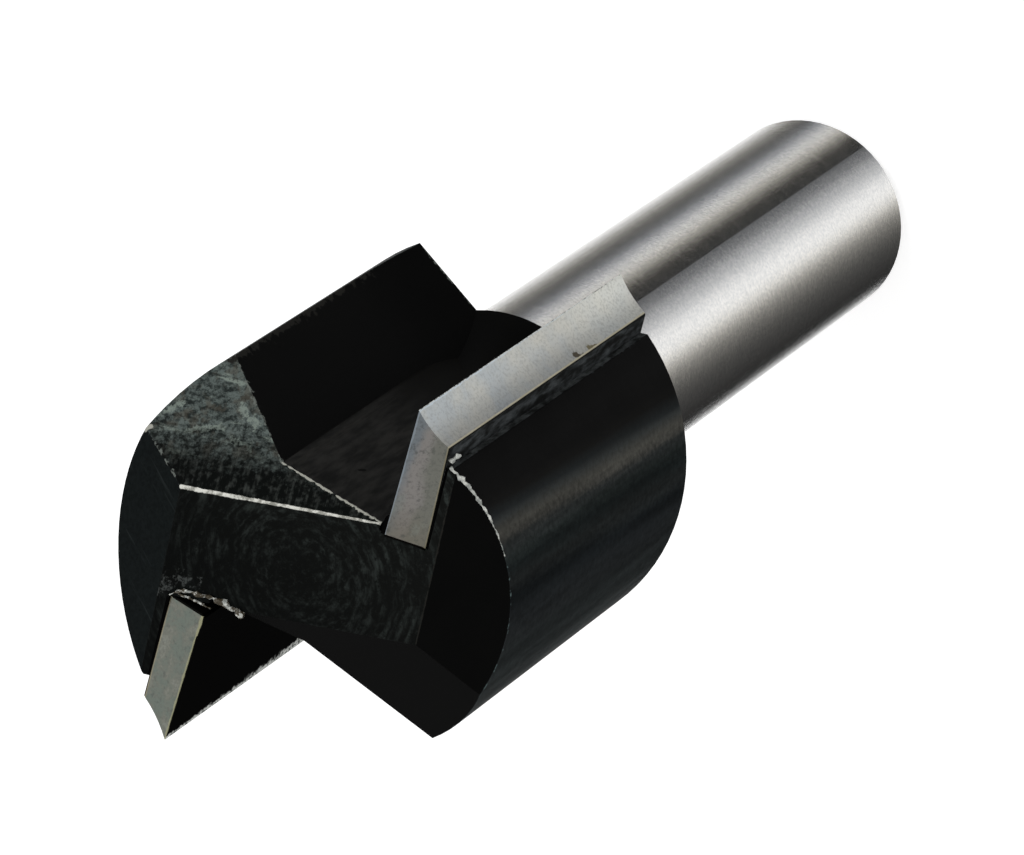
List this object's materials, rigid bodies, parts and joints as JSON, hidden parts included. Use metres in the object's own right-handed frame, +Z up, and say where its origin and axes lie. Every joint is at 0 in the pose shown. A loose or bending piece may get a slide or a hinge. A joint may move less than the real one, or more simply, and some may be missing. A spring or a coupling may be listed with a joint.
{
  "type": "grooving router bit",
  "caption": "Straight plunge router bit: plain ground shank, blackened head with deep straight gullets and brazed carbide cutting tips.",
  "frame": {"origin": "centre of the end face of the shank", "axes": "+Z up the axis from the shank's end to the cutting end, +X through the outer cutting corner of carbide_tip_1"},
  "size_m": [0.025, 0.0226, 0.072],
  "materials": {
    "body_steel": "black oxide on the head, bright ground shank",
    "carbide": "fine ground reliefs, dark rake faces",
    "braze": "ground silver solder"
  },
  "bodies": {
    "root": {"cutter_body": "body_steel", "carbide_tip_1": "carbide", "carbide_tip_2": "carbide", "braze_seam_1": "braze", "braze_seam_2": "braze"}
  },
  "joints": []
}
